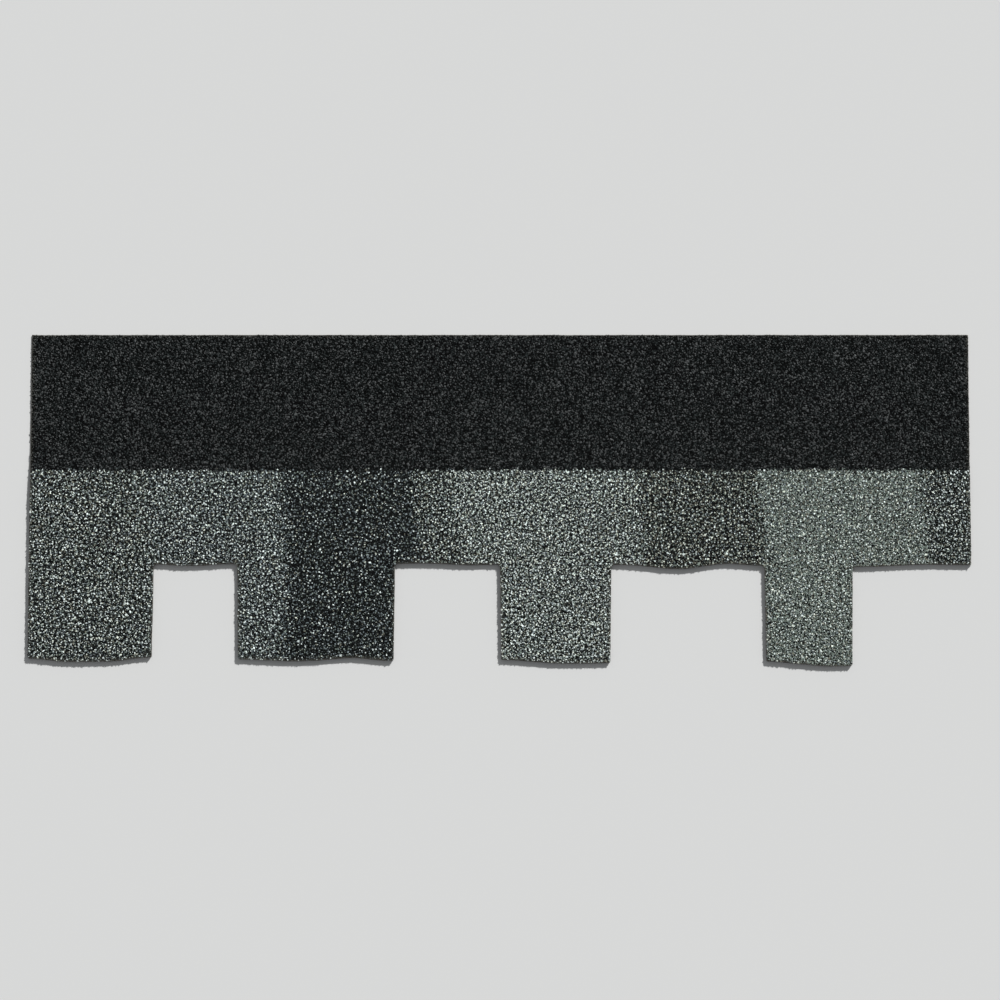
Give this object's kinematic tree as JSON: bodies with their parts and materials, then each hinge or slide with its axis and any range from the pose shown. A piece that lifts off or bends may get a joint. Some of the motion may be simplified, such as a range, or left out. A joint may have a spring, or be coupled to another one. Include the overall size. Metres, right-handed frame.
{
  "type": "laminated asphalt shingle",
  "caption": "Two-ply laminated asphalt roof shingle with broad wavy-butted tabs, open notches and a plain headlap, lying weather face up.",
  "frame": {"origin": "middle of the sheet's bounding box, on the surface that it lies on", "axes": "+X along the course, +Y up the roof slope from the butts to the headlap's top edge, +Z out of the granule-coated weather face"},
  "size_m": [1.016, 0.362, 0.0062],
  "materials": {
    "granule_face": "matte",
    "coated_backing": "matte",
    "seal_asphalt": "gloss",
    "release_film": "gloss"
  },
  "bodies": {
    "root": {"face_ply": "granule_face", "backing_ply": "coated_backing", "seal_strip_1": "seal_asphalt", "seal_strip_2": "seal_asphalt", "seal_strip_3": "seal_asphalt", "seal_strip_4": "seal_asphalt", "release_tape": "release_film"}
  },
  "joints": []
}
